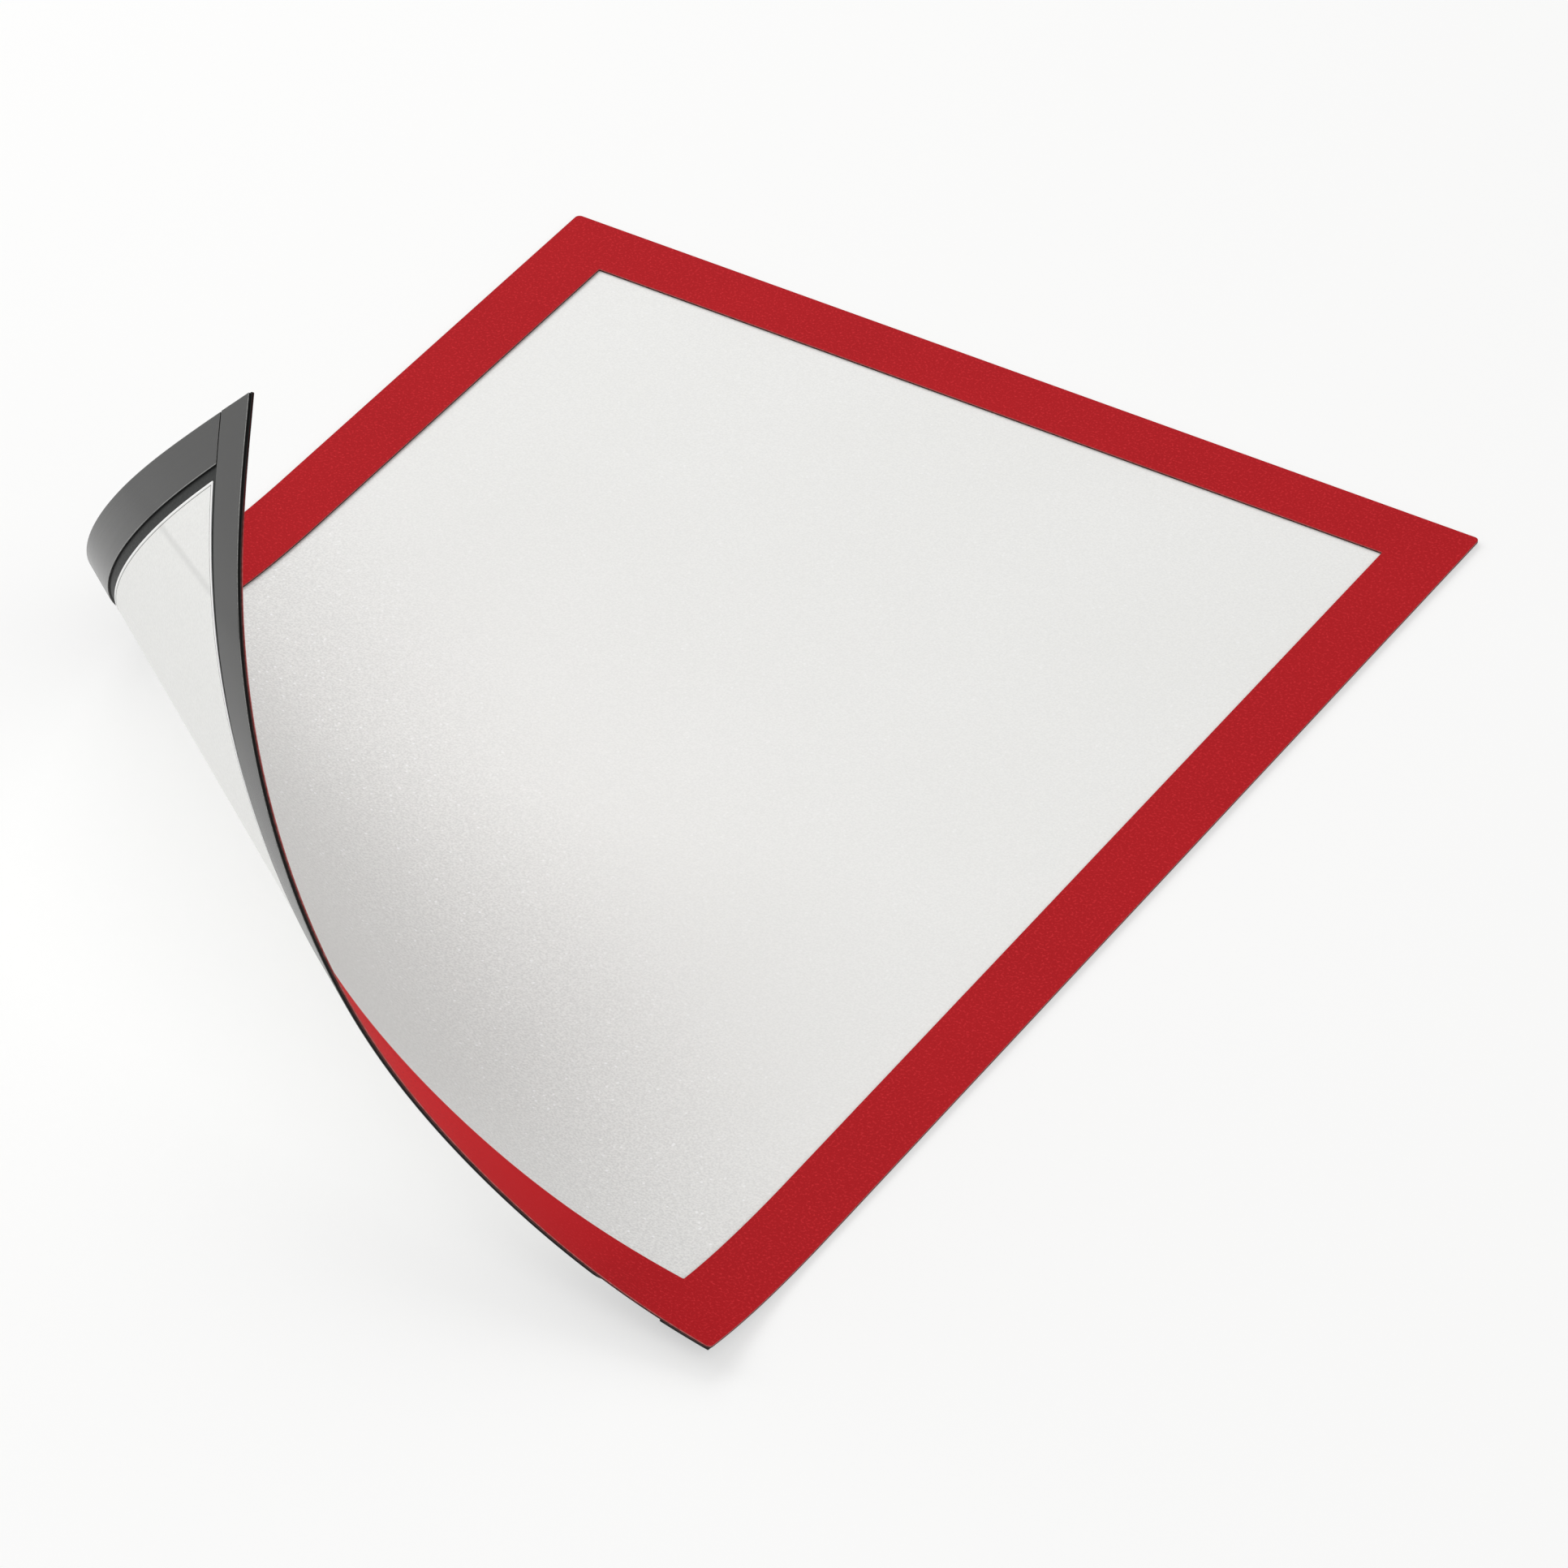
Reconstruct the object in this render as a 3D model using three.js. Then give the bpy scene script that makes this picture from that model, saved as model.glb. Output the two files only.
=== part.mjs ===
// Magnetic display frame for an A4 sheet: a red film frame on a dark backing frame, a clear matte
// window behind the opening, and four flexible magnet strips on the back that leave one finger gap.
// It lies on its back with the lower left corner curled up and over, so the strips show there.
// Millimetres, +Z up. Every piece is drawn flat, with the top left corner of the sheet at (0, 0),
// the bottom edge at y = -sheetHeight and the front face at z = 0, and is then bent with the sheet.
import * as THREE from "three";

// Driving dimensions of the flat sheet
const sheetWidth = 236;
const sheetHeight = 323;
const cornerRadius = 1.2;
const bandWidth = 15.9; // from the outer edge to the window opening
const windowLap = 1.5; // how far the window film runs behind the band

// Driving dimensions of the magnet strips
const stripInset = 0.3; // from the outer edge of the film to the strip
const stripWidth = 11.7;
const stripButtGap = 0.2; // open joint where one strip ends against the next
const fingerGap = 14; // stretch with no strip, beside the lower right corner
const stripEndRadius = 2.5; // round end of the bottom strip at the finger gap

// Driving dimensions across the sheet
const faceThickness = 0.25;
const backingThickness = 0.25;
const windowThickness = 0.2;
const stripThickness = 0.55;
const adhesiveThickness = 0.05; // between any two layers

// The curl. Straight fold lines cross the left edge and the line of the bottom edge at these
// distances from the curled corner, and the sheet has turned by that many degrees when it gets there.
const curlStations = [
  { left: 200, bottom: 303, turn: 0 },
  { left: 176, bottom: 265, turn: 7 },
  { left: 164, bottom: 238, turn: 16 },
  { left: 144, bottom: 199, turn: 35 },
  { left: 123, bottom: 159, turn: 53 },
  { left: 102, bottom: 123, turn: 75.5 },
  { left: 73, bottom: 74, turn: 99 },
  { left: 40, bottom: 33, turn: 115 },
  { left: 14, bottom: 11, turn: 119.5 },
];
const foldLines = 56;
const arcSteps = 4; // segments in a quarter round

// Materials, with the colours of the photographed product
const redFilm = new THREE.MeshStandardMaterial({ color: "#ae2328", roughness: 0.5, metalness: 0 });
const darkFilm = new THREE.MeshStandardMaterial({ color: "#3c3e3d", roughness: 0.6, metalness: 0 });
const clearFilm = new THREE.MeshStandardMaterial({ color: "#e6e6e3", roughness: 0.7, metalness: 0 });
const magnetRubber = new THREE.MeshStandardMaterial({ color: "#5c5c5a", roughness: 0.8, metalness: 0 });

// One fold line for each step along the curl: a point on it, the direction towards the curled
// corner, and the matrix that carries the flat sheet beyond the line to its place.
function makeFolds() {
  const path = new THREE.CatmullRomCurve3(
    curlStations.map((s) => new THREE.Vector3(s.left, s.bottom, s.turn)),
  );
  const folds = [];
  const carried = new THREE.Matrix4();
  for (let i = 0; i < foldLines; i++) {
    const { x: left, y: bottom } = path.getPoint((i + 0.5) / foldLines);
    const turn = path.getPoint((i + 1) / foldLines).z - path.getPoint(i / foldLines).z;
    const point = new THREE.Vector3(0, left - sheetHeight, 0);
    const axis = new THREE.Vector3(-bottom, left, 0).normalize();
    const hinge = new THREE.Matrix4()
      .makeTranslation(point)
      .multiply(new THREE.Matrix4().makeRotationAxis(axis, THREE.MathUtils.degToRad(turn)))
      .multiply(new THREE.Matrix4().makeTranslation(point.clone().negate()));
    carried.multiply(hinge);
    folds.push({ point, beyond: new THREE.Vector3(-left, -bottom, 0).normalize(), matrix: carried.clone() });
  }
  return folds;
}
const folds = makeFolds();

// Signed distance of a flat point past a fold line
function past(fold, p) {
  return (p.x - fold.point.x) * fold.beyond.x + (p.y - fold.point.y) * fold.beyond.y;
}

// Splits a convex polygon at a fold line into the part before it and the part beyond it.
function split(polygon, fold) {
  const touching = 1e-6;
  const before = [];
  const beyond = [];
  polygon.forEach((a, i) => {
    const b = polygon[(i + 1) % polygon.length];
    const da = past(fold, a);
    const db = past(fold, b);
    if (da <= touching) before.push(a);
    if (da >= -touching) beyond.push(a);
    if ((da < -touching && db > touching) || (da > touching && db < -touching)) {
      const cut = a.clone().lerp(b, da / (da - db));
      before.push(cut);
      beyond.push(cut);
    }
  });
  return [before, beyond].map((part) => (part.length > 2 ? part : null));
}

// Cuts the polygons of a piece at every fold line. A panel knows how many folds lie before it.
function cutAtFolds(polygons) {
  let ahead = polygons;
  const panels = [];
  folds.forEach((fold, i) => {
    const rest = [];
    for (const polygon of ahead) {
      const [before, beyond] = split(polygon, fold);
      if (before) panels.push({ corners: before, level: i });
      if (beyond) rest.push(beyond);
    }
    ahead = rest;
  });
  for (const polygon of ahead) panels.push({ corners: polygon, level: folds.length });
  return panels;
}

// A piece of even thickness, from depth front down to depth back below the face, bent with the sheet.
function bentPiece(name, material, polygons, front, back) {
  const panels = cutAtFolds(polygons);
  const key = (p) => `${p.x.toFixed(4)},${p.y.toFixed(4)}`;
  const matrixOf = (level) => (level ? folds[level - 1].matrix : new THREE.Matrix4());
  const normalOf = (level) => new THREE.Vector3(0, 0, 1).transformDirection(matrixOf(level));

  // A corner on a fold line belongs to two levels, and its thickness follows the bisector of both.
  const corners = new Map();
  for (const { corners: ring, level } of panels)
    for (const p of ring) {
      const seen = corners.get(key(p)) ?? { p, levels: new Set() };
      seen.levels.add(level);
      corners.set(key(p), seen);
    }
  for (const corner of corners.values()) {
    const levels = [...corner.levels];
    const first = normalOf(Math.min(...levels));
    const last = normalOf(Math.max(...levels));
    const across = first.clone().add(last).divideScalar(1 + first.dot(last));
    const place = new THREE.Vector3(corner.p.x, corner.p.y, 0).applyMatrix4(matrixOf(levels[0]));
    corner.front = place.clone().addScaledVector(across, -front);
    corner.back = place.clone().addScaledVector(across, -back);
  }

  const positions = [];
  const triangle = (...points) => points.forEach((v) => positions.push(v.x, v.y, v.z));
  const edges = new Set();
  for (const { corners: ring } of panels)
    ring.forEach((p, i) => edges.add(`${key(p)}|${key(ring[(i + 1) % ring.length])}`));
  for (const { corners: ring } of panels) {
    const c = ring.map((p) => corners.get(key(p)));
    for (let i = 1; i + 1 < c.length; i++) {
      triangle(c[0].front, c[i].front, c[i + 1].front);
      triangle(c[0].back, c[i + 1].back, c[i].back);
    }
    c.forEach((a, i) => {
      const b = c[(i + 1) % c.length];
      if (edges.has(`${key(b.p)}|${key(a.p)}`)) return;
      triangle(a.back, b.back, b.front);
      triangle(a.back, b.front, a.front);
    });
  }
  const geometry = new THREE.BufferGeometry();
  geometry.setAttribute("position", new THREE.Float32BufferAttribute(positions, 3));
  geometry.computeVertexNormals();
  const mesh = new THREE.Mesh(geometry, material);
  mesh.name = name;
  return mesh;
}

// Points of a rounded corner, counterclockwise, from the direction start through a quarter turn.
function roundCorner(cx, cy, radius, start) {
  return Array.from({ length: arcSteps + 1 }, (_, i) => {
    const angle = THREE.MathUtils.degToRad(start + (90 * i) / arcSteps);
    return new THREE.Vector2(cx + radius * Math.cos(angle), cy + radius * Math.sin(angle));
  });
}

// A rectangle, counterclockwise. Only the right end can be rounded.
function rectangle(left, bottom, right, top, endRadius = 0) {
  const r = Math.min(endRadius, (top - bottom) / 2);
  if (!r)
    return [
      new THREE.Vector2(left, bottom),
      new THREE.Vector2(right, bottom),
      new THREE.Vector2(right, top),
      new THREE.Vector2(left, top),
    ];
  return [
    new THREE.Vector2(left, bottom),
    ...roundCorner(right - r, bottom + r, r, -90),
    ...roundCorner(right - r, top - r, r, 0),
    new THREE.Vector2(left, top),
  ];
}

// The film frame as four mitred bars, each a convex polygon, with rounded outer corners.
function frameBars() {
  const r = cornerRadius;
  const outer = [
    roundCorner(sheetWidth - r, -r, r, 0),
    roundCorner(r, -r, r, 90),
    roundCorner(r, r - sheetHeight, r, 180),
    roundCorner(sheetWidth - r, r - sheetHeight, r, 270),
  ];
  const inner = [
    new THREE.Vector2(sheetWidth - bandWidth, -bandWidth),
    new THREE.Vector2(bandWidth, -bandWidth),
    new THREE.Vector2(bandWidth, bandWidth - sheetHeight),
    new THREE.Vector2(sheetWidth - bandWidth, bandWidth - sheetHeight),
  ];
  const middle = arcSteps / 2;
  return outer.map((arc, i) => {
    const next = (i + 1) % outer.length;
    return [...arc.slice(middle), ...outer[next].slice(0, middle + 1), inner[next], inner[i]];
  });
}

// Depths below the front face
const backingFront = faceThickness + adhesiveThickness;
const behindBacking = backingFront + backingThickness + adhesiveThickness;
const totalThickness = behindBacking + stripThickness;

// Each strip starts at one corner and ends against the strip along the next edge.
const stripInner = stripInset + stripWidth;
const rightStripLeft = sheetWidth - stripInner;
const stripOutlines = {
  magnet_strip_top: rectangle(
    stripInner + stripButtGap, -stripInner, sheetWidth - stripInset, -stripInset),
  magnet_strip_right: rectangle(
    rightStripLeft, stripInset - sheetHeight, sheetWidth - stripInset, -stripInner - stripButtGap),
  magnet_strip_bottom: rectangle(
    stripInset, stripInset - sheetHeight, rightStripLeft - fingerGap, stripInner - sheetHeight, stripEndRadius),
  magnet_strip_left: rectangle(
    stripInset, stripInner + stripButtGap - sheetHeight, stripInner, -stripInset),
};

const windowEdge = bandWidth - windowLap;
const windowOutline = rectangle(windowEdge, windowEdge - sheetHeight, sheetWidth - windowEdge, -windowEdge);

const sheet = new THREE.Group();
sheet.add(bentPiece("face_film", redFilm, frameBars(), 0, faceThickness));
sheet.add(bentPiece("backing_film", darkFilm, frameBars(), backingFront, backingFront + backingThickness));
sheet.add(bentPiece("window_film", clearFilm, [windowOutline], behindBacking, behindBacking + windowThickness));
for (const [name, outline] of Object.entries(stripOutlines))
  sheet.add(bentPiece(name, magnetRubber, [outline], behindBacking, totalThickness));

// The origin is under the middle of the object, on the surface that it lies on.
const reach = new THREE.Box3().setFromObject(sheet);
const centre = reach.getCenter(new THREE.Vector3());
sheet.position.set(-centre.x, -centre.y, -reach.min.z);

const displayFrame = new THREE.Group();
displayFrame.add(sheet);

export default displayFrame;
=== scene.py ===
# %% [markdown]
# A magnetic display frame for an A4 sheet, lying on its back with one corner curled up and over.
# Every piece of the real thing is cut flat from film or strip, and the stack is bent by hand, so
# this lesson makes each piece flat first, with its cut edges, and then bends them all together.
# The CAD model gives the size and the place. The script loads it first.

# %% Load the CAD model
import math

import bmesh
import bpy
import numpy as np
from mathutils import Matrix, Quaternion, Vector


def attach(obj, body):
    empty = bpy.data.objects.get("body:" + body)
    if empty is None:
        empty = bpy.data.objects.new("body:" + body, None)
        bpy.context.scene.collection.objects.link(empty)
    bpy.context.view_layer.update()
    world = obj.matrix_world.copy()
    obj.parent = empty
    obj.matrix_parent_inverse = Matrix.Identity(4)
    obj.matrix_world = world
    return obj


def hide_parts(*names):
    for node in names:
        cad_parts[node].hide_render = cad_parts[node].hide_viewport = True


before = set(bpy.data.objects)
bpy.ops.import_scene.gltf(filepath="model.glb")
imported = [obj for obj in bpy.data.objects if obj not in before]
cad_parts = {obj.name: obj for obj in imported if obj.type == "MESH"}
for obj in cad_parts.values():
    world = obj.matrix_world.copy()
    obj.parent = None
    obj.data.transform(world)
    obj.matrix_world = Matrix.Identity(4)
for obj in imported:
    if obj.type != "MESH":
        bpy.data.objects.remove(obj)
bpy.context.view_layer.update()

MM = 0.001
print("CAD nodes:", ", ".join(sorted(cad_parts)))

# %% [markdown]
# The camera stands where the photographer stood: low over the lower right corner and about two
# metres away, with a long lens, so the far edge is hardly smaller than the near one. A camera
# looks along its own minus Z. The point it looks at, its height above the floor, its direction
# and a slight roll are enough to place it. The lens and the sensor's width are in millimetres, and
# the picture is square.

# %% Camera
LOOK_AT = Vector((32.86, 6.02, 0)) * MM
CAMERA_PLACE = Vector((836.71, -1328.85, 1221.37)) * MM
CAMERA_ROLL = math.radians(0.67)
LENS = 213.1
SENSOR_W = 36
NEAREST, FARTHEST = 0.1, 20

camera = bpy.data.objects.new("camera", bpy.data.cameras.new("camera"))
bpy.context.scene.collection.objects.link(camera)
bpy.context.scene.camera = camera
camera.data.sensor_width = SENSOR_W
camera.data.lens = LENS
camera.data.clip_start = NEAREST
camera.data.clip_end = FARTHEST
camera.location = CAMERA_PLACE
aim = (LOOK_AT - CAMERA_PLACE).to_track_quat("-Z", "Y")
camera.rotation_mode = "QUATERNION"
camera.rotation_quaternion = aim @ Quaternion((0, 0, 1), CAMERA_ROLL)
print("camera is", round((LOOK_AT - CAMERA_PLACE).length, 2), "m from the frame")

# %% [markdown]
# The sizes of the flat pieces, in millimetres. The top left corner of the sheet is (0, 0), x runs
# to the right, y is minus going down, and the front face is at depth 0. The stack from the front
# is: red film, dark film, then window film and magnet strips side by side. A gap of 0.05 mm stands
# for the adhesive between two layers. Nearly all sizes are the CAD model's. Four are finer than
# there: the sharper curled corner, the left and bottom edges of the window film, which was laid in
# a little out of true, and the open joint between two strips.

# %% Sizes of the flat sheet
SHEET_W = 236
SHEET_H = 323
CORNER_R = 1.2
CURLED_R = 0.4
BAND = 15.9
WINDOW_EDGE = 14.4
WINDOW_LEFT = 15.0
WINDOW_BOTTOM = 14.0
STRIP_INSET = 0.3
STRIP_W = 11.7
BUTT_GAP = 0.45
FINGER_GAP = 14
STRIP_END_R = 2.5
RED_DEPTH = (0, 0.25)
DARK_DEPTH = (0.3, 0.55)
WINDOW_DEPTH = (0.6, 0.8)
STRIP_DEPTH = (0.6, 1.15)
# Where the flat sheet's (0, 0) lies in the CAD model.
SHEET_ORIGIN = Vector((-118.09, 161.40, 1.15))
print("flat sheet:", SHEET_W, "x", SHEET_H, "mm")
print("opening:", SHEET_W - 2 * BAND, "x", SHEET_H - 2 * BAND, "mm")

# %% [markdown]
# A film can't stretch, so it can only bend along straight lines, and each of these lines stays
# straight. Here they are given by where they cross the left edge and the line of the bottom
# edge, as distances from the curled corner, with the total turn in degrees once the sheet gets
# there. The lines slowly change direction, which makes the roll a cone and not a plain cylinder.
# A smooth curve runs through these stations. Its speed at each one comes from the neighbours and
# from the square roots of the distances to them, so it doesn't overshoot between close stations.

# %% Stations of the curl
CURL_STATIONS = [
    (200, 303, 0),
    (176, 265, 7),
    (164, 238, 16),
    (144, 199, 35),
    (123, 159, 53),
    (102, 123, 75.5),
    (73, 74, 99),
    (40, 33, 115),
    (14, 11, 119.5),
]
FOLDS = 224


def curl_at(t):
    """Left distance, bottom distance and turn at t, which runs from 0 to 1 over the stations."""
    stations = [np.array(s, float) for s in CURL_STATIONS]
    stations.insert(0, 2 * stations[0] - stations[1])
    stations.append(2 * stations[-1] - stations[-2])
    last = len(CURL_STATIONS) - 2
    part = min(int(t * (last + 1)), last)
    w = t * (last + 1) - part
    p0, p1, p2, p3 = stations[part : part + 4]
    d0, d1, d2 = (math.sqrt(np.linalg.norm(b - a)) for a, b in ((p0, p1), (p1, p2), (p2, p3)))
    m1 = d1 * ((p1 - p0) / d0 - (p2 - p0) / (d0 + d1) + (p2 - p1) / d1)
    m2 = d1 * ((p2 - p1) / d1 - (p3 - p1) / (d1 + d2) + (p3 - p2) / d2)
    return p1 + m1 * w + (3 * (p2 - p1) - 2 * m1 - m2) * w**2 + (2 * (p1 - p2) + m1 + m2) * w**3


print("half way round the curl the sheet has turned by", round(curl_at(0.5)[2], 1), "degrees")

# %% [markdown]
# Each fold line becomes a point on it, a direction towards the curled corner, the matrix that
# carries the flat sheet beyond it to its place, and the sheet's orientation just on the line,
# after half of its small turn. Points between two lines take an orientation in between, so the
# shading of the roll is smooth.

# %% Fold lines
def make_folds():
    folds = []
    carried = Matrix.Identity(4)
    turned = Quaternion()
    for i in range(FOLDS):
        left, bottom, _ = curl_at((i + 0.5) / FOLDS)
        turn = math.radians(curl_at((i + 1) / FOLDS)[2] - curl_at(i / FOLDS)[2])
        point = Vector((0, left - SHEET_H, 0))
        axis = Vector((-bottom, left, 0)).normalized()
        there, back = Matrix.Translation(point), Matrix.Translation(-point)
        hinge = there @ Matrix.Rotation(turn, 4, axis) @ back
        on_line = turned @ Quaternion(axis, turn / 2)
        carried = carried @ hinge
        turned = turned @ Quaternion(axis, turn)
        beyond = Vector((-left, -bottom, 0)).normalized()
        folds.append((point, beyond, carried.copy(), on_line))
    return folds


folds = make_folds()
print(len(folds), "fold lines")

# %% [markdown]
# Bending a mesh takes two steps. First every fold line cuts the flat mesh, so that an edge lies
# on each one. Then each vertex finds how many lines it has passed, and the last one carries it
# to its place. The vertex normals are turned the same way and kept as custom normals, because
# a flat face beside a very thin rounded edge would else be shaded as if it sagged. The flat
# coordinates stay on the mesh as an attribute, so a material can follow the sheet round the curl.

# %% Bend a flat mesh
TOUCHING = 1e-5


def cut_at_folds(bm):
    for point, beyond, _, _ in folds:
        everything = bm.verts[:] + bm.edges[:] + bm.faces[:]
        bmesh.ops.bisect_plane(bm, geom=everything, dist=TOUCHING, plane_co=point, plane_no=beyond)


def bend(places, normals):
    """Bent places in metres and bent normals, for flat places in mm."""
    flat = np.array(places)
    passed = np.array([
        (flat[:, 0] - p.x) * b.x + (flat[:, 1] - p.y) * b.y for p, b, _, _ in folds])
    levels = (passed > 0).cumprod(axis=0).sum(axis=0)
    bent, turned = [], []
    for i, level in enumerate(levels):
        carried = folds[level - 1][2] if level else Matrix.Identity(4)
        before = folds[level - 1][3] if level else Quaternion()
        after = folds[level][3] if level < FOLDS else before
        gone = passed[level - 1, i] if level else 0
        ahead = -passed[level, i] if level < FOLDS else 1
        turn = before.slerp(after, gone / (gone + ahead) if gone + ahead else 0)
        place = carried @ Vector((places[i].x, places[i].y, 0)) + turn @ Vector((0, 0, places[i].z))
        bent.append((place + SHEET_ORIGIN) * MM)
        turned.append(turn @ normals[i])
    return bent, turned


tip, _ = bend([Vector((0, -SHEET_H, 0))], [Vector((0, 0, 1))])
print("the curled corner stands", round(tip[0].z / MM, 1), "mm high")

# %% [markdown]
# Die-cut film and strip both have edges that run along straight lines with small round corners.
# So an outline here is a rectangle with four corner radii, and every ring of it has the same
# number of points. A piece is a stack of such rings: each step of its edge profile says how far
# the ring is set in, how deep it lies, and which material the band up to it has. That way even a
# round of 0.04 mm on the edge is real geometry, which catches the light as a fine line.

# %% Rings and plates
CORNER_STEPS = 6
SHARPEST_R = 0.02


def ring(rect, radii, inset_x, inset_y):
    """Points round a rectangle (left, bottom, right, top), counterclockwise from the top right."""
    left, bottom = rect[0] + inset_x, rect[1] + inset_y
    right, top = rect[2] - inset_x, rect[3] - inset_y
    points = []
    corners = (
        (right, top, -1, -1), (left, top, 1, -1), (left, bottom, 1, 1), (right, bottom, -1, 1))
    for i, (x, y, sx, sy) in enumerate(corners):
        r = max(radii[i] - max(inset_x, inset_y), SHARPEST_R)
        for step in range(CORNER_STEPS + 1):
            a = math.radians(90 * i + 90 * step / CORNER_STEPS)
            points.append((x + sx * r + r * math.cos(a), y + sy * r + r * math.sin(a)))
    return points


def bands(bm, rows, materials, flip=False):
    """Joins each ring of vertices to the next with quads that have that band's material."""
    for upper, lower, material in zip(rows, rows[1:], materials):
        for i in range(len(upper)):
            j = (i + 1) % len(upper)
            loop = (upper[i], lower[i], lower[j], upper[j])
            face = bm.faces.new(loop[::-1] if flip else loop)
            face.material_index = material


def ring_rows(bm, rect, radii, profile, share=(1, 1)):
    """A row of vertices for each (inset, depth) of the profile. share is how much of the inset
    counts in x and in y: less than 1 for blunt ends, and minus 1 round an opening."""
    rows = []
    for inset, depth in profile:
        outline = ring(rect, radii, share[0] * inset, share[1] * inset)
        rows.append([bm.verts.new((x, y, -depth)) for x, y in outline])
    return rows


print("a ring has", 4 * (CORNER_STEPS + 1), "points")

# %% [markdown]
# Every piece is finished in the same way. Each vertex normal is the average of its faces, the large
# ones counting most, so the broad faces stay flat up to their soft edges. The piece then takes the
# place of its CAD node, takes the materials it is given, and rides on the body.

# %% Finish a piece
def finish_piece(name, bm, body, nodes, materials):
    """Cuts and bends the flat bmesh and makes it an object that replaces its CAD nodes."""
    cut_at_folds(bm)
    bmesh.ops.remove_doubles(bm, verts=bm.verts[:], dist=TOUCHING)
    bm.normal_update()
    flat = [v.co.copy() for v in bm.verts]
    normals = []
    for v in bm.verts:
        total = Vector()
        for f in v.link_faces:
            total += f.normal * f.calc_area()
        normals.append(total.normalized())
    bent, turned = bend(flat, normals)
    for v, place in zip(bm.verts, bent):
        v.co = place
    mesh = bpy.data.meshes.new(name)
    bm.to_mesh(mesh)
    bm.free()
    for material in materials:
        mesh.materials.append(material)
    mesh.attributes.new("flat", "FLOAT_VECTOR", "POINT").data.foreach_set(
        "vector", np.array(flat).ravel())
    mesh.shade_smooth()
    mesh.normals_split_custom_set_from_vertices(turned)
    piece = bpy.data.objects.new(name, mesh)
    bpy.context.scene.collection.objects.link(piece)
    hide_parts(*nodes)
    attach(piece, body)
    print(name, "has", len(mesh.polygons), "faces")


# %% [markdown]
# All materials are built from nodes. One helper turns an sRGB hex colour into the linear numbers
# that Blender renders with, and one adds a node with its settings and its links. The surfaces
# read their place from the flat attribute, in millimetres, so one over a size in millimetres is
# the scale of its pattern. Two kinds of node come up often, and their inputs go by number: a Mix
# node has its factor at 0 and its two colours at 6 and 7, and a Map Range node takes a value (0)
# from one range (1 to 2) into another (3 to 4).

# %% Material helpers
def colour(hex_code):
    """sRGB hex, such as #c0ffee, to linear RGBA."""
    srgb = [int(hex_code[i : i + 2], 16) / 255 for i in (1, 3, 5)]
    return [c / 12.92 if c <= 0.04045 else ((c + 0.055) / 1.055) ** 2.4 for c in srgb] + [1]


def add(tree, kind, inputs=None, **settings):
    """A node of that kind. An input is a number, a colour or another node's output."""
    node = tree.nodes.new(kind)
    for key, value in settings.items():
        setattr(node, key, value)
    for key, value in (inputs or {}).items():
        if isinstance(value, bpy.types.NodeSocket):
            tree.links.new(value, node.inputs[key])
        else:
            node.inputs[key].default_value = value
    return node


def new_material(name, **sockets):
    """A material with its shader, its node tree and the flat place in mm."""
    material = bpy.data.materials.new(name)
    material.use_nodes = True
    tree = material.node_tree
    shader = tree.nodes["Principled BSDF"]
    for key, value in sockets.items():
        shader.inputs[key.replace("_", " ")].default_value = value
    flat = add(tree, "ShaderNodeAttribute", attribute_name="flat").outputs["Vector"]
    return material, tree, shader, flat


print("pure red in linear numbers:", colour("#ff0000"))

# %% [markdown]
# The front is soft PVC film, calendered between rollers with a matte, finely grained finish.
# That gives a red that hardly mirrors anything, with a faint tooth and slight, cloudy changes of
# tone. Round the bend of the lower border a brighter red is painted in, as painted light. Its grain
# is about 0.25 mm, which is drawn at 0.6 mm so that it still shows here. Where the die cuts the
# film, the edge is paler, an uneven pink line round the outside and round the opening, partly the
# stretched cut edge and partly painted highlight. Within a few centimetres of the curled corner the
# edge is painted dark, as painted shade where it faces away from the light. Bump heights are in
# metres, and all other lengths in a material are millimetres on the flat sheet.

# %% Red PVC film
PVC_IOR = 1.53
GRAIN = 0.6
GRAIN_HEIGHT = 0.00003
CLOUD = 35
FRAY = 0.8
FRAY_HEIGHT = 0.00004
# A place on the flat sheet, and the distances from it at which a tone begins to fade and is gone.
CURLED_CORNER = (0, -SHEET_H, 0)
# Where painted shade darkens the cut edges near the curled corner.
TIP_SHADE = (15, 40)
# Where a brighter red is painted in as painted light, round the bend of the lower border.
LIT_BEND_AT = (120, -SHEET_H, 0)
LIT_BEND = (30, 92)


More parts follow.
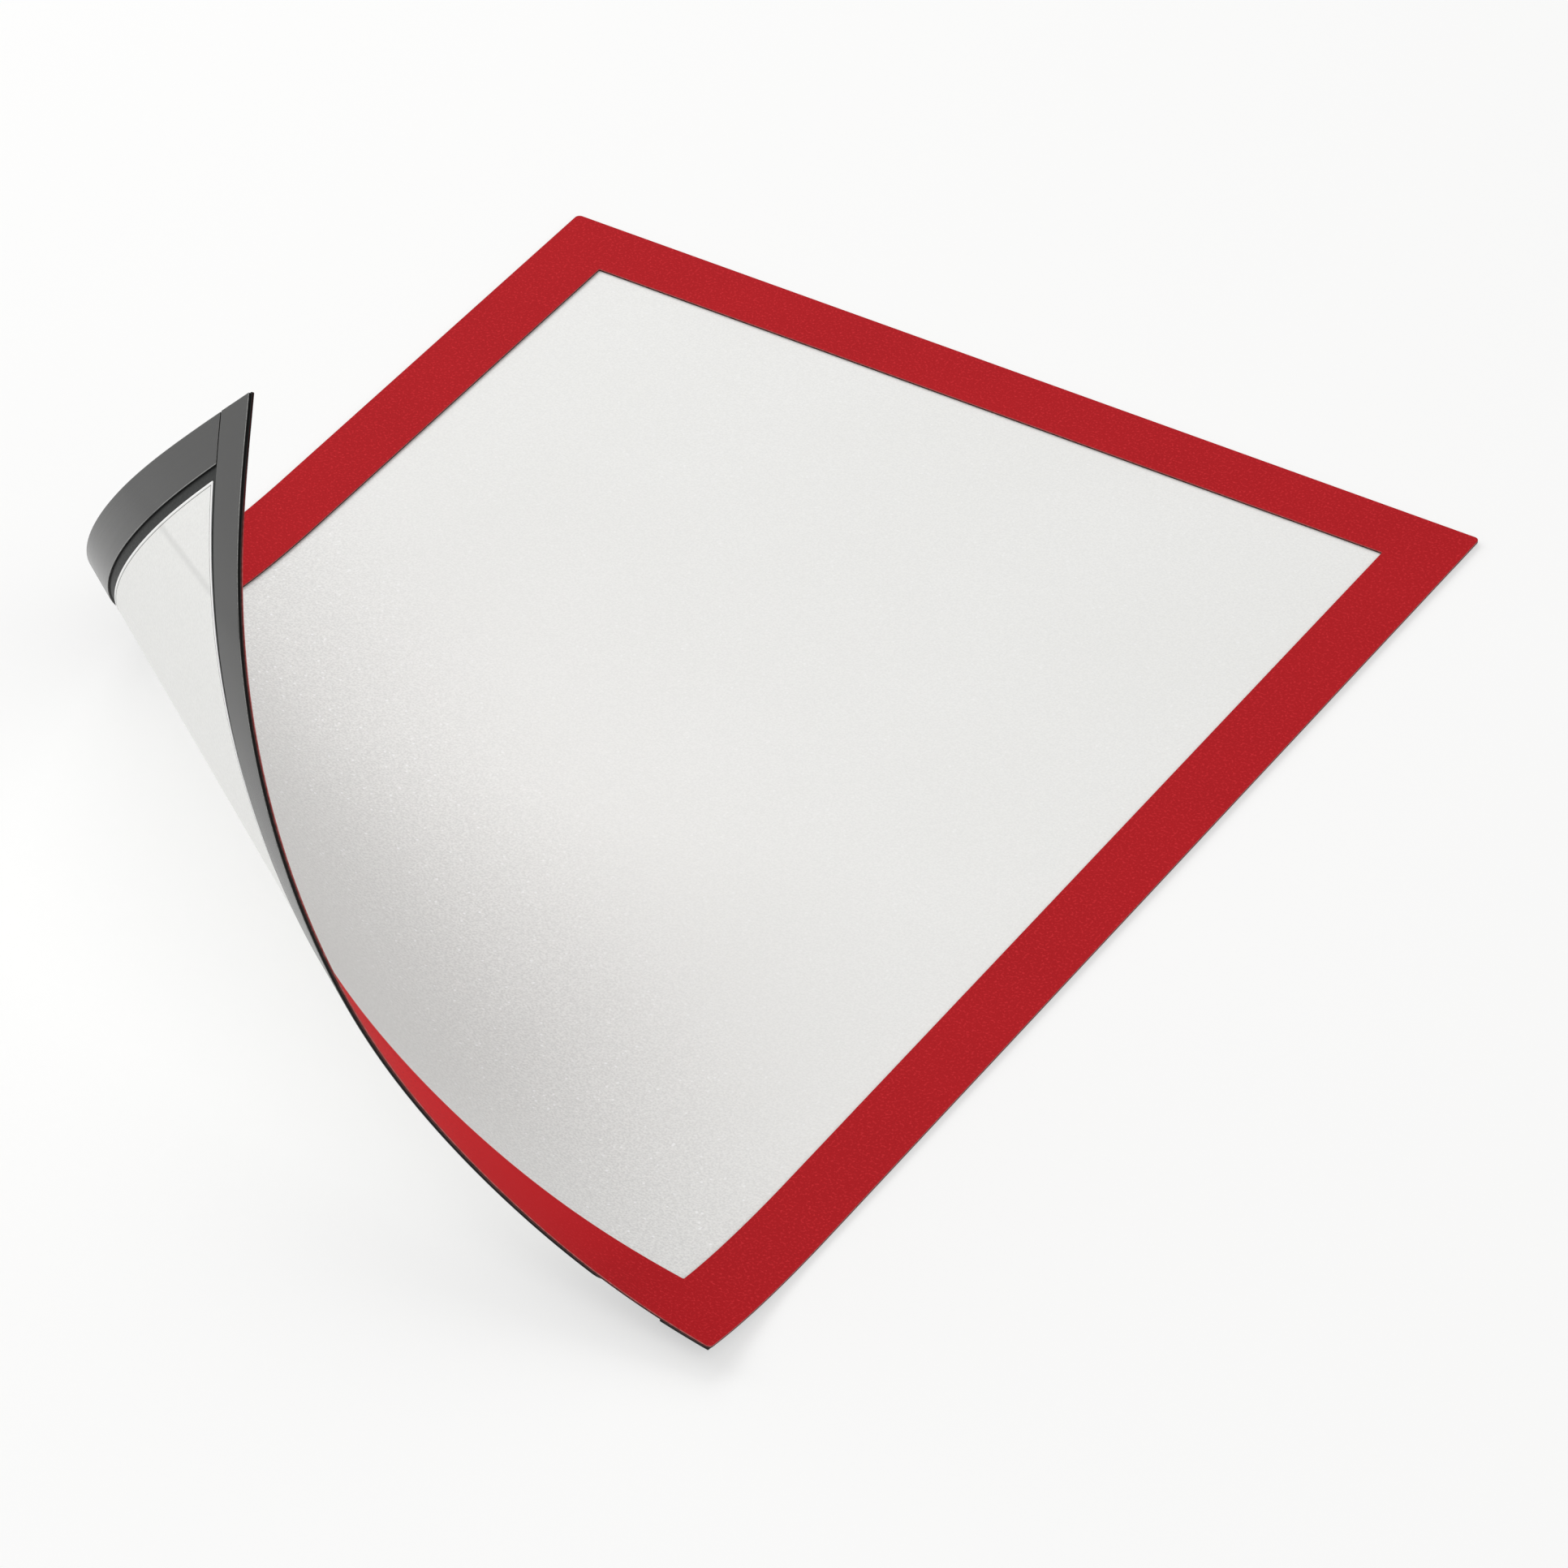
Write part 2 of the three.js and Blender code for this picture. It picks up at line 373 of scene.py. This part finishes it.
def red_pvc():
    material, tree, shader, flat = new_material(
        "calendered_red_pvc_film", IOR=PVC_IOR, Specular_IOR_Level=0.04)
    grain = add(tree, "ShaderNodeTexNoise", {"Vector": flat, "Scale": 1 / GRAIN, "Detail": 3.0})
    cloud = add(tree, "ShaderNodeTexNoise", {"Vector": flat, "Scale": 1 / CLOUD, "Detail": 4.0})
    tone = add(tree, "ShaderNodeMix", {
        0: cloud.outputs["Fac"], 6: colour("#ab181f"), 7: colour("#b71b22")},
        data_type="RGBA").outputs[2]
    # Painted light: the red is brighter round the bend of the lower border.
    away = add(tree, "ShaderNodeVectorMath", {0: flat, 1: LIT_BEND_AT}, operation="DISTANCE")
    bent = add(tree, "ShaderNodeMapRange", {
        0: away.outputs["Value"], 1: LIT_BEND[0], 2: LIT_BEND[1], 3: 1.0, 4: 0.0}).outputs[0]
    lit_bend_red = add(tree, "ShaderNodeMix", {
        0: bent, 6: tone, 7: colour("#e6262c")}, data_type="RGBA").outputs[2]
    speck = add(tree, "ShaderNodeMapRange", {
        0: grain.outputs["Fac"], 1: 0.52, 2: 0.7, 3: 0.0, 4: 1.0}).outputs[0]
    base = add(tree, "ShaderNodeMix", {
        0: speck, 6: lit_bend_red, 7: colour("#cc2d33")}, data_type="RGBA").outputs[2]
    rough = add(tree, "ShaderNodeMapRange", {
        0: grain.outputs["Fac"], 1: 0.3, 2: 0.7, 3: 0.55, 4: 0.7}).outputs[0]
    bump = add(tree, "ShaderNodeBump", {
        "Height": grain.outputs["Fac"], "Strength": 0.25, "Distance": GRAIN_HEIGHT})
    tree.links.new(base, shader.inputs["Base Color"])
    tree.links.new(rough, shader.inputs["Roughness"])
    tree.links.new(bump.outputs["Normal"], shader.inputs["Normal"])
    return material


def cut_edge(name, pale, dark, corner):
    """A cut edge, uneven along its length, with painted shade near the curled corner."""
    material, tree, shader, flat = new_material(
        name, Roughness=0.5, IOR=PVC_IOR, Specular_IOR_Level=0.2)
    fray = add(tree, "ShaderNodeTexNoise", {"Vector": flat, "Scale": 1 / FRAY, "Detail": 3.0})
    frayed = add(tree, "ShaderNodeMapRange", {
        0: fray.outputs["Fac"], 1: 0.35, 2: 0.65, 3: 0.0, 4: 1.0}).outputs[0]
    uneven = add(tree, "ShaderNodeMix", {
        0: frayed, 6: colour(pale), 7: colour(dark)}, data_type="RGBA").outputs[2]
    # Painted shade: near the curled corner the edge is darkened, where it faces away from the
    # light.
    away = add(tree, "ShaderNodeVectorMath", {0: flat, 1: CURLED_CORNER}, operation="DISTANCE")
    in_tip_shade = add(tree, "ShaderNodeMapRange", {
        0: away.outputs["Value"], 1: TIP_SHADE[0], 2: TIP_SHADE[1], 3: 1.0, 4: 0.0}).outputs[0]
    base = add(tree, "ShaderNodeMix", {
        0: in_tip_shade, 6: uneven, 7: colour(corner)}, data_type="RGBA").outputs[2]
    bump = add(tree, "ShaderNodeBump", {
        "Height": fray.outputs["Fac"], "Strength": 0.3, "Distance": FRAY_HEIGHT})
    tree.links.new(base, shader.inputs["Base Color"])
    tree.links.new(bump.outputs["Normal"], shader.inputs["Normal"])
    return material


red_film = red_pvc()
# Pale pink, partly the stretched cut edge and partly painted highlight; the last colour is painted
# shade near the curled corner.
red_edge = cut_edge("die_cut_red_pvc_edge", "#b4605f", "#9c4441", "#1e1514")
print("made", red_film.name, "and", red_edge.name)

# %% [markdown]
# Behind the red film lies a charcoal PVC film, which shows on the back between the magnet strips
# and the window. Its finish is the same fine matte grain. The cut edge of this film took on some
# red from the face when both were cut together, so it is a dark red brown.

# %% Charcoal PVC film
def charcoal_pvc():
    material, tree, shader, flat = new_material(
        "calendered_charcoal_pvc_film", IOR=PVC_IOR, Specular_IOR_Level=0.25)
    grain = add(tree, "ShaderNodeTexNoise", {"Vector": flat, "Scale": 1 / GRAIN, "Detail": 3.0})
    base = add(tree, "ShaderNodeMix", {
        0: grain.outputs["Fac"], 6: colour("#1b1d1c"), 7: colour("#2a2c2b")},
        data_type="RGBA").outputs[2]
    rough = add(tree, "ShaderNodeMapRange", {
        0: grain.outputs["Fac"], 1: 0.3, 2: 0.7, 3: 0.5, 4: 0.65}).outputs[0]
    bump = add(tree, "ShaderNodeBump", {
        "Height": grain.outputs["Fac"], "Strength": 0.25, "Distance": GRAIN_HEIGHT})
    tree.links.new(base, shader.inputs["Base Color"])
    tree.links.new(rough, shader.inputs["Roughness"])
    tree.links.new(bump.outputs["Normal"], shader.inputs["Normal"])
    return material


dark_film = charcoal_pvc()
# The last colour is painted shade on the edge near the curled corner.
dark_edge = cut_edge("die_cut_charcoal_pvc_edge", "#54302e", "#382220", "#141211")
print("made", dark_film.name, "and", dark_edge.name)

# %% [markdown]
# Two things lie along straight lines on the sheet. Beside one, where the bend begins and light
# grazes the window, its grain and glints are painted stronger, as painted light. Along the other a
# faint darker band, painted shade, crosses the curled corner parallel to the fold lines. A line is
# written as its direction across and how far along that direction it lies, so a point's distance
# from it is a dot product and one subtraction.

# %% Lines on the sheet
# Beside this line grain and glints are painted stronger, as painted light.
BEND_LINE = ((0.567, 0.823, 0), -130)
# Along this line a faint darker band is painted, as painted shade.
SHADE_BAND_LINE = ((0.731, 0.682, 0), -181.6)


def beside_line(tree, flat, line, half_width, middle, outside):
    """A number that fades from middle on a line to outside at half_width mm beside it."""
    across = add(tree, "ShaderNodeVectorMath", {0: flat, 1: line[0]}, operation="DOT_PRODUCT")
    offset = add(tree, "ShaderNodeMath", {
        0: across.outputs["Value"], 1: line[1]}, operation="SUBTRACT")
    distance = add(tree, "ShaderNodeMath", {0: offset.outputs[0]}, operation="ABSOLUTE")
    fading = {0: distance.outputs[0], 1: 0.0, 2: half_width, 3: middle, 4: outside}
    return add(tree, "ShaderNodeMapRange", fading, interpolation_type="SMOOTHSTEP").outputs[0]


# How far the painted shade band lies from the curled corner.
shade_band_far = SHADE_BAND_LINE[1] + SHADE_BAND_LINE[0][1] * SHEET_H
print("the crease is", round(shade_band_far, 1), "mm from the curled corner")

# %% [markdown]
# The window is rigid PVC film with a matte, anti-glare surface. Over a white ground it looks like
# a pale neutral grey with a very fine tooth, in which single grains are painted white as painted
# glints. Along its edge it is pressed to the dark film, and the press leaves a smooth white ridge
# about 0.4 mm wide, with a fine groove inside it that is painted grey, as painted shadow. The tooth
# is near 0.15 mm, drawn at 0.5 mm, and the glints are a sparse set of dots in cells of 1.1 mm. Both
# are painted stronger beside a line where the bend begins and light grazes the film, as painted
# light. The painted shade band is a narrow line on this film, a little darker.

# %% Matte window film
TOOTH = 0.5
GLINT_CELL = 1.1
WINDOW_CLOUD = 60
STREAK = 3
GRAZING_LIGHT_WIDTH = 55
# Half width of the painted shade band on the window.
SHADE_BAND_HALF = 1.5


def matte_window():
    material, tree, shader, flat = new_material(
        "matte_rigid_pvc_window", IOR=PVC_IOR, Specular_IOR_Level=0.4)
    tooth = add(tree, "ShaderNodeTexNoise", {"Vector": flat, "Scale": 1 / TOOTH, "Detail": 2.0})
    cloud = add(tree, "ShaderNodeTexNoise", {
        "Vector": flat, "Scale": 1 / WINDOW_CLOUD, "Detail": 3.0})
    # Painted glints: sparse dots painted white.
    dots = add(tree, "ShaderNodeTexVoronoi", {"Vector": flat, "Scale": 1 / GLINT_CELL})
    near_dot = add(tree, "ShaderNodeMapRange", {
        0: dots.outputs["Distance"], 1: 0.2, 2: 0.34, 3: 1.0, 4: 0.0}).outputs[0]
    chosen = add(tree, "ShaderNodeSeparateColor", {"Color": dots.outputs["Color"]})
    rare = add(tree, "ShaderNodeMapRange", {
        0: chosen.outputs["Red"], 1: 0.8, 2: 0.95, 3: 0.0, 4: 1.0}).outputs[0]
    # Painted light: grain and glints are stronger beside the bend line, where light grazes the
    # film.
    grazing_light = beside_line(tree, flat, BEND_LINE, GRAZING_LIGHT_WIDTH, 1.0, 0.3)
    shown = add(tree, "ShaderNodeMath", {0: near_dot, 1: rare}, operation="MULTIPLY").outputs[0]
    painted_glints = add(tree, "ShaderNodeMath", {
        0: shown, 1: grazing_light}, operation="MULTIPLY").outputs[0]
    tone = add(tree, "ShaderNodeMix", {
        0: cloud.outputs["Fac"], 6: colour("#efefec"), 7: colour("#f4f4f2")},
        data_type="RGBA").outputs[2]
    coarse = add(tree, "ShaderNodeMapRange", {
        0: tooth.outputs["Fac"], 1: 0.35, 2: 0.65, 3: 0.0, 4: 1.0}).outputs[0]
    shows = add(tree, "ShaderNodeMath", {
        0: coarse, 1: grazing_light}, operation="MULTIPLY").outputs[0]
    grained = add(tree, "ShaderNodeMix", {
        0: shows, 6: tone, 7: colour("#dddddb")}, data_type="RGBA").outputs[2]
    # Painted shade: a faint darker band along a line.
    in_shade_band = beside_line(tree, flat, SHADE_BAND_LINE, SHADE_BAND_HALF, 0.4, 0.0)
    with_shade_band = add(tree, "ShaderNodeMix", {
        0: in_shade_band, 6: grained, 7: colour("#cbcbc9")}, data_type="RGBA").outputs[2]
    base = add(tree, "ShaderNodeMix", {
        0: painted_glints, 6: with_shade_band, 7: colour("#ffffff")}, data_type="RGBA").outputs[2]
    rough = add(tree, "ShaderNodeMapRange", {
        0: tooth.outputs["Fac"], 1: 0.3, 2: 0.7, 3: 0.5, 4: 0.68}).outputs[0]
    bump = add(tree, "ShaderNodeBump", {
        "Height": tooth.outputs["Fac"], "Strength": 0.2, "Distance": GRAIN_HEIGHT})
    tree.links.new(base, shader.inputs["Base Color"])
    tree.links.new(rough, shader.inputs["Roughness"])
    tree.links.new(bump.outputs["Normal"], shader.inputs["Normal"])
    return material


def pressed_margin():
    material, tree, shader, flat = new_material("pressed_white_margin", Roughness=0.35, IOR=PVC_IOR)
    streak = add(tree, "ShaderNodeTexNoise", {"Vector": flat, "Scale": 1 / STREAK, "Detail": 2.0})
    base = add(tree, "ShaderNodeMix", {
        0: streak.outputs["Fac"], 6: colour("#fbfbfa"), 7: colour("#ffffff")},
        data_type="RGBA").outputs[2]
    tree.links.new(base, shader.inputs["Base Color"])
    return material


window_film = matte_window()
window_margin = pressed_margin()
# The groove is painted grey, as painted shadow along the edge of the opening.
groove_shade = cut_edge("pressed_groove_painted_shade", "#6c6c6b", "#5c5c5b", "#6c6c6b")
print("made", window_film.name, window_margin.name, groove_shade.name)

# %% [markdown]
# The strips are flexible magnet: ferrite powder bound in rubber and extruded through a slot. The
# slot leaves fine lines along the strip, a quarter of a millimetre apart and about 40 mm long, and
# the ferrite powder makes a dull dark grey. The broad back is slightly shiny, so it pales where
# light grazes it. The rounded edges are painted pale, as painted highlight, and the cut sides are
# nearly black. The powder's grain is far too fine to show and is drawn at 0.3 mm. The painted shade
# band is broader here.

# %% Magnet rubber
RUBBER_IOR = 1.5
LINE_APART = 0.25
LINE_LENGTH = 40
POWDER = 0.3
# Half width of the painted shade band on the strips.
BROAD_SHADE_BAND_HALF = 5


def magnet_rubber(name, along, dark, pale):
    """Extruded ferrite rubber. along is 0 for a strip that runs in x and 1 for one in y."""
    material, tree, shader, flat = new_material(name, IOR=RUBBER_IOR, Specular_IOR_Level=0.36)
    fine, long = 1 / LINE_APART, 1 / LINE_LENGTH
    stretch = (fine, long, 1) if along else (long, fine, 1)
    drawn = add(tree, "ShaderNodeMapping", {"Vector": flat, "Scale": stretch})
    lines = add(tree, "ShaderNodeTexNoise", {
        "Vector": drawn.outputs["Vector"], "Scale": 1.0, "Detail": 3.0})
    powder = add(tree, "ShaderNodeTexNoise", {"Vector": flat, "Scale": 1 / POWDER, "Detail": 2.0})
    tone = add(tree, "ShaderNodeMix", {
        0: lines.outputs["Fac"], 6: colour(dark), 7: colour(pale)}, data_type="RGBA").outputs[2]
    powdered = add(tree, "ShaderNodeMapRange", {
        0: powder.outputs["Fac"], 1: 0.35, 2: 0.75, 3: 0.0, 4: 0.6}).outputs[0]
    grained = add(tree, "ShaderNodeMix", {
        0: powdered, 6: tone, 7: colour("#343432")}, data_type="RGBA").outputs[2]
    # Painted shade: a dark band along a line.
    in_shade_band = beside_line(tree, flat, SHADE_BAND_LINE, BROAD_SHADE_BAND_HALF, 0.5, 0.0)
    base = add(tree, "ShaderNodeMix", {
        0: in_shade_band, 6: grained, 7: colour("#080808")}, data_type="RGBA").outputs[2]
    rough = add(tree, "ShaderNodeMapRange", {
        0: lines.outputs["Fac"], 1: 0.3, 2: 0.7, 3: 0.2, 4: 0.26}).outputs[0]
    bump = add(tree, "ShaderNodeBump", {
        "Height": powder.outputs["Fac"], "Strength": 0.3, "Distance": GRAIN_HEIGHT})
    tree.links.new(base, shader.inputs["Base Color"])
    tree.links.new(rough, shader.inputs["Roughness"])
    tree.links.new(bump.outputs["Normal"], shader.inputs["Normal"])
    return material


rubber_across = magnet_rubber("extruded_magnet_rubber_across", 0, "#1b1b1a", "#222221")
rubber_down = magnet_rubber("extruded_magnet_rubber_down", 1, "#1b1b1a", "#222221")
# Painted highlight: a pale copy of the rubber for the rounded edges.
rubber_edge_highlight = magnet_rubber("magnet_rubber_edge_painted_highlight", 0, "#8a8a88", "#9e9e9c")
rubber_side = cut_edge("cut_magnet_rubber_side", "#141413", "#0c0c0b", "#0c0c0b")
print("made", rubber_across.name, rubber_down.name, rubber_edge_highlight.name, rubber_side.name)

# %% [markdown]
# The two film frames are rings between an outer outline with small round corners and the square
# opening. Each ring goes over the front, round the slightly softened outer edge, along the back
# and up the edge of the opening, and closes on itself. Half way round a soft edge, the profile is
# set in and down by 0.3 of its radius, as a circle is.

# %% Film frames
SOFT_EDGE = 0.04
HALF_WAY = 0.3
OPENING_R = 0.3


def film_frame(name, node, depth, materials):
    front, back = depth
    s = SOFT_EDGE
    half = s * HALF_WAY
    profile = [(s, front), (half, front + half), (0, front + s), (0, back - s), (s, back)]
    bm = bmesh.new()
    sheet = (0, -SHEET_H, SHEET_W, 0)
    opening = (BAND, BAND - SHEET_H, SHEET_W - BAND, -BAND)
    outer = ring_rows(bm, sheet, [CORNER_R, CORNER_R, CURLED_R, CORNER_R], profile)
    inner = ring_rows(bm, opening, [OPENING_R] * 4, profile, share=(-1, -1))
    bands(bm, outer, [1, 1, 1, 1])
    bands(bm, inner, [1, 1, 1, 1], flip=True)
    bands(bm, [inner[0], outer[0]], [0])
    bands(bm, [outer[-1], inner[-1]], [0])
    finish_piece(name, bm, "root", [node], materials)


film_frame("red_face", "face_film", RED_DEPTH, [red_film, red_edge])
film_frame("dark_backing", "backing_film", DARK_DEPTH, [dark_film, dark_edge])

# %% [markdown]
# The window film has a raised ridge along its edge, where the press squeezed it, and a groove
# inside it. Its front is plain. The rings step in from the cut edge over the ridge, down into
# the groove and up again to the level of the pane, which one face closes. RIDGE, MARGIN, GROOVE and
# SLOPE are widths along the film, and the depths are below the top of the ridge.

# %% Window
WINDOW_R = 0.4
FRONT_SOFT = 0.02
RIDGE_SOFT = 0.05
RIDGE = 0.42
MARGIN = 0.72
GROOVE = 0.12
SLOPE = 0.03
PANE_DEPTH = 0.04
GROOVE_DEPTH = 0.12


def window_pane():
    front, back = WINDOW_DEPTH
    rect = (WINDOW_LEFT, WINDOW_BOTTOM - SHEET_H, SHEET_W - WINDOW_EDGE, -WINDOW_EDGE)
    level = back - PANE_DEPTH
    groove_floor = back - GROOVE_DEPTH
    profile = [
        (FRONT_SOFT, front),
        (0, front + FRONT_SOFT),
        (0, back - RIDGE_SOFT),
        (RIDGE_SOFT, back),
        (RIDGE, back),
        (RIDGE + PANE_DEPTH, level),
        (MARGIN, level),
        (MARGIN + SLOPE, groove_floor),
        (MARGIN + GROOVE, groove_floor),
        (MARGIN + GROOVE + SLOPE, level),
    ]
    bm = bmesh.new()
    rows = ring_rows(bm, rect, [WINDOW_R] * 4, profile)
    # The groove's faces take material 2, painted grey as painted shadow.
    bands(bm, rows, [1, 1, 1, 1, 0, 0, 2, 2, 2])
    bm.faces.new(rows[0])
    bm.faces.new(rows[-1][::-1])
    finish_piece(
        "window_pane", bm, "root", ["window_film"],
        [window_film, window_margin, groove_shade])


window_pane()

# %% [markdown]
# Each magnet strip is a long plate whose back edges come rounded out of the slot. The round is
# flatter than a circle, and narrow at the cut ends. The strips lie with square ends against each
# other, apart from the bottom one, which has a round end where the fingers reach under the frame.
# The sides are the dark cut rubber.

# %% Magnet strips
ROUND = 0.3
ROUND_STEPS = 4
FLATTER = 0.6
BLUNT = 0.2
SQUARE_R = 0.15
STRIP_SOFT = 0.03


def strip(name, node, rect, end_r, along):
    front, back = STRIP_DEPTH
    profile = [(STRIP_SOFT, front), (0, front + STRIP_SOFT)]
    for step in range(ROUND_STEPS + 1):
        a = math.radians(90 * step / ROUND_STEPS)
        profile.append((ROUND * (1 - math.cos(a)), back - ROUND * (1 - math.sin(a)) * FLATTER))
    radii = [end_r, SQUARE_R, SQUARE_R, end_r]
    share = (1, BLUNT) if along else (BLUNT, 1)
    bm = bmesh.new()
    rows = ring_rows(bm, rect, radii, profile, share)
    # The middle of the rounded edge takes the pale rubber, a painted highlight.
    bands(bm, rows, [1, 1, 1, 2, 2, 0])
    bm.faces.new(rows[0])
    bm.faces.new(rows[-1][::-1])
    broad = rubber_down if along else rubber_across
    finish_piece(
        name, bm, "root", [node], [broad, rubber_side, rubber_edge_highlight])


inner_edge = STRIP_INSET + STRIP_W
right_left = SHEET_W - inner_edge
strip(
    "strip_top", "magnet_strip_top",
    (inner_edge + BUTT_GAP, -inner_edge, SHEET_W - STRIP_INSET, -STRIP_INSET), SQUARE_R, 0)
strip(
    "strip_right", "magnet_strip_right",
    (right_left, STRIP_INSET - SHEET_H, SHEET_W - STRIP_INSET, -inner_edge - BUTT_GAP), SQUARE_R, 1)
strip(
    "strip_bottom", "magnet_strip_bottom",
    (STRIP_INSET, STRIP_INSET - SHEET_H, right_left - FINGER_GAP, inner_edge - SHEET_H),
    STRIP_END_R, 0)
strip(
    "strip_left", "magnet_strip_left",
    (STRIP_INSET, inner_edge + BUTT_GAP - SHEET_H, inner_edge, -STRIP_INSET), SQUARE_R, 1)

# %% [markdown]
# The floor is a product table of white acrylic, which is lit faintly from below so that shadows
# stay light. It is stage and not part of the object. Its size is in metres.

# %% Floor
FLOOR_HALF = 4


def product_table():
    h = FLOOR_HALF
    floor_mesh = bpy.data.meshes.new("floor")
    floor_mesh.from_pydata([(-h, -h, 0), (h, -h, 0), (h, h, 0), (-h, h, 0)], [], [(0, 1, 2, 3)])
    floor = bpy.data.objects.new("floor", floor_mesh)
    bpy.context.scene.collection.objects.link(floor)
    acrylic, _, shader, _ = new_material(
        "white_backlit_acrylic", Roughness=0.9, Specular_IOR_Level=0.1, Emission_Strength=0.5)
    shader.inputs["Base Color"].default_value = colour("#b9b9b8")
    shader.inputs["Emission Color"].default_value = colour("#ffffff")
    floor_mesh.materials.append(acrylic)
    print("made a floor of", acrylic.name, 2 * h, "m wide")


product_table()

# %% [markdown]
# The light is soft studio light: an even surround, and five large round softboxes that all aim at
# the frame. The ones at the left and behind reach the flat sheet past the curl, so the sheet
# darkens only where it turns up, and the ones in front light the back of the flap. Each softbox
# has a name, its power in watts and its place in metres. The Standard view shows colours as they
# are.

# %% Light
SURROUND = 0.3
SOFTBOX_SIZE = 1.6
SOFTBOXES = (
    ("above_camera", 6.3, (0.55, -1.45, 1.75)),
    ("left", 18.3, (-1.8, 0, 1.3)),
    ("back_left", 18.4, (-1.2, 1.3, 1.5)),
    ("front_right", 13, (1.5, -1.0, 1.4)),
    ("low_front", 3.8, (0, -2.1, 0.8)),
)


def studio_light():
    world = bpy.data.worlds.new("studio")
    bpy.context.scene.world = world
    world.use_nodes = True
    background = world.node_tree.nodes["Background"]
    background.inputs["Color"].default_value = (1, 1, 1, 1)
    background.inputs["Strength"].default_value = SURROUND

    for name, watts, place in SOFTBOXES:
        softbox = bpy.data.objects.new("softbox_" + name, bpy.data.lights.new(name, "AREA"))
        bpy.context.scene.collection.objects.link(softbox)
        softbox.data.shape = "DISK"
        softbox.data.size = SOFTBOX_SIZE
        softbox.data.energy = watts
        softbox.location = place
        softbox.rotation_mode = "QUATERNION"
        softbox.rotation_quaternion = (-softbox.location).to_track_quat("-Z", "Y")

    bpy.context.scene.view_settings.view_transform = "Standard"
    print("lit by an even surround and", len(SOFTBOXES), "softboxes")


studio_light()
